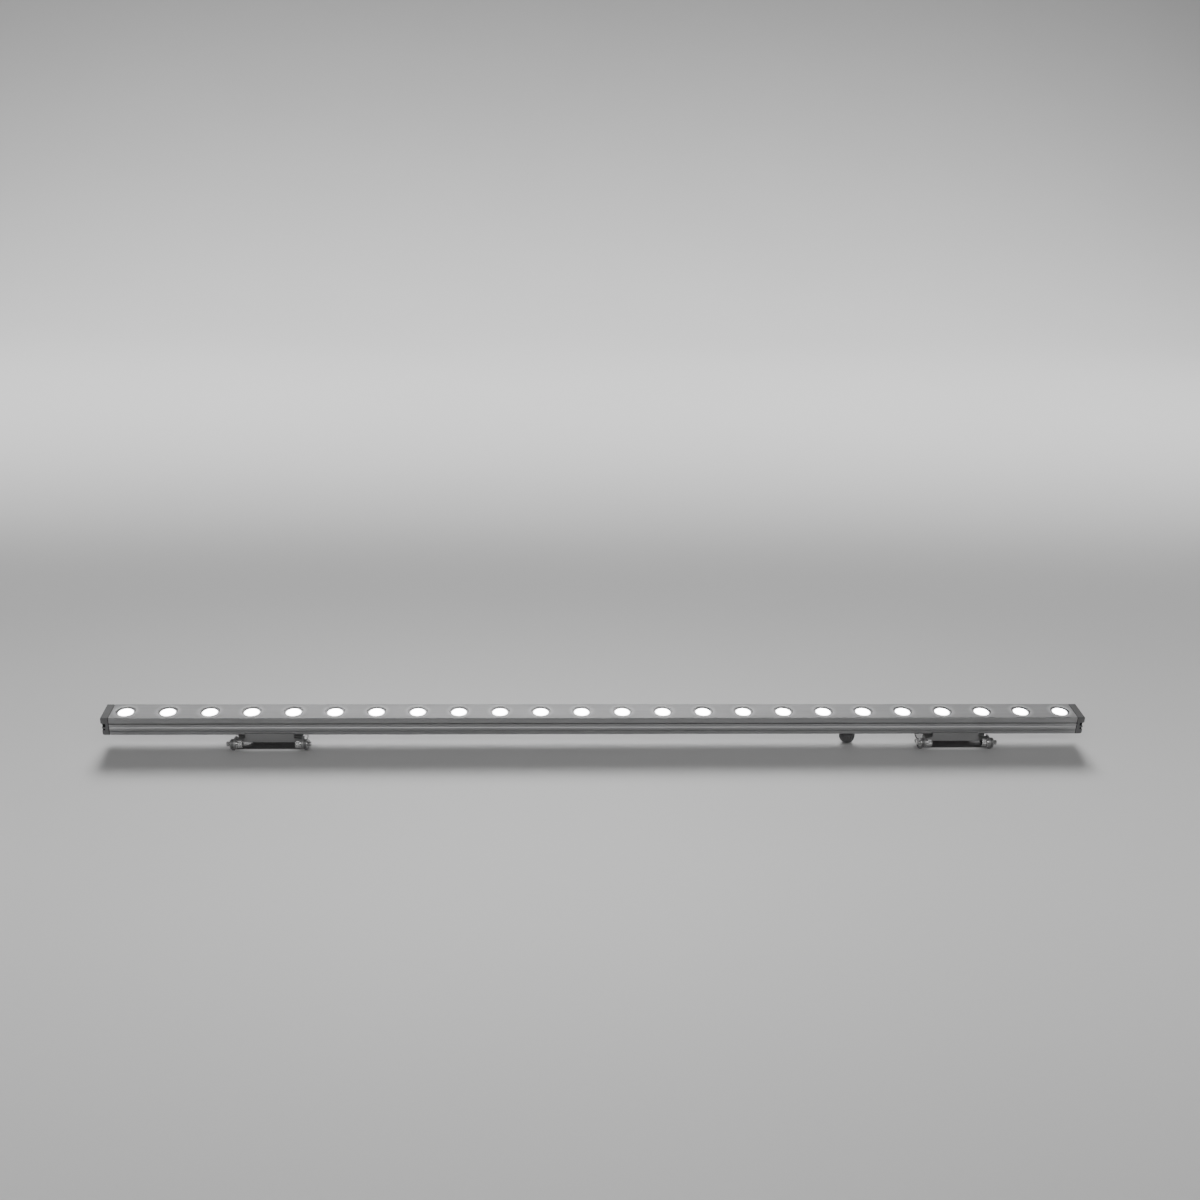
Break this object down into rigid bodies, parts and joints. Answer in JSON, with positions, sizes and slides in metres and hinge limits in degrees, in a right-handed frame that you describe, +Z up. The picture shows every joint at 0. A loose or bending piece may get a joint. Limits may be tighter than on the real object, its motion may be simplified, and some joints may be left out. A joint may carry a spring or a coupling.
{
  "type": "led strip batten",
  "caption": "Slim stage batten with a row of recessed round lenses in a grooved aluminium body on two tilting, sliding feet.",
  "frame": {"origin": "middle of the object's length and depth, on the surface that the feet stand on", "axes": "+X along the batten, -Y towards the front, +Z up, the way the lenses face at rest"},
  "size_m": [1, 0.0439, 0.036],
  "materials": {
    "body_aluminium": "satin anodised",
    "cap_plastic": "moulded, dark grey",
    "black_rubber": "matte",
    "black_plastic": "moulded, fine matte texture",
    "lens_glass": "frosted clear optics",
    "emitter": "phosphor and clear dome",
    "board": "white solder mask on aluminium",
    "thermal_pad": "soft silicone",
    "chip": "moulded epoxy",
    "steel": "stainless, turned",
    "bracket_steel": "satin, brushed",
    "copper_lead": "insulated lead"
  },
  "bodies": {
    "batten": {"housing": "body_aluminium", "face_cover": "body_aluminium", "cover_seals": "black_rubber", "lens_holders": "black_plastic", "led_emitters": "emitter", "led_board_left": "board", "led_board_right": "board", "thermal_pads": "thermal_pad", "driver_chips": "chip", "board_screws": "steel", "board_headers": "black_plastic", "board_link_leads": "copper_lead", "supply_terminal": "black_plastic", "end_cap_left": "cap_plastic", "end_cap_right": "cap_plastic", "end_gaskets": "black_rubber", "end_cap_screws": "steel", "gland_body": "black_plastic", "gland_o_ring": "black_rubber", "gland_seal": "black_rubber", "gland_nut": "black_plastic", "lens_01": "lens_glass", "lens_02": "lens_glass", "lens_03": "lens_glass", "lens_04": "lens_glass", "lens_05": "lens_glass", "lens_06": "lens_glass", "lens_07": "lens_glass", "lens_08": "lens_glass", "lens_09": "lens_glass", "lens_10": "lens_glass", "lens_11": "lens_glass", "lens_12": "lens_glass", "lens_13": "lens_glass", "lens_14": "lens_glass", "lens_15": "lens_glass", "lens_16": "lens_glass", "lens_17": "lens_glass", "lens_18": "lens_glass", "lens_19": "lens_glass", "lens_20": "lens_glass", "lens_21": "lens_glass", "lens_22": "lens_glass", "lens_23": "lens_glass", "lens_24": "lens_glass"},
    "saddle_left": {"saddle_left": "bracket_steel", "slot_nuts_left": "steel", "clamp_screws_left": "steel"},
    "foot_left": {"foot_left": "bracket_steel", "pivot_inserts_left": "steel", "pivot_washers_left": "steel", "pivot_bolts_left": "steel"},
    "saddle_right": {"saddle_right": "bracket_steel", "slot_nuts_right": "steel", "clamp_screws_right": "steel"},
    "foot_right": {"foot_right": "bracket_steel", "pivot_inserts_right": "steel", "pivot_washers_right": "steel", "pivot_bolts_right": "steel"}
  },
  "joints": [
    {"name": "left_slide", "type": "slide", "parent": "batten", "child": "saddle_left", "axis": [1, 0, 0], "range_m": [-0.12, 0.27]},
    {"name": "left_tilt", "type": "hinge", "parent": "saddle_left", "child": "foot_left", "pos_m": [-0.3346, -0.01695, 0.011], "axis": [-1, 0, 0], "range_deg": [0, 120]},
    {"name": "right_slide", "type": "slide", "parent": "batten", "child": "saddle_right", "axis": [1, 0, 0], "range_m": [-0.06, 0.09]},
    {"name": "right_tilt", "type": "hinge", "parent": "saddle_right", "child": "foot_right", "pos_m": [0.3658, -0.01695, 0.011], "axis": [-1, 0, 0], "range_deg": [0, 120]}
  ],
  "couplings": [
    {"joint": "right_tilt", "follows": "left_tilt", "ratio": 1}
  ]
}
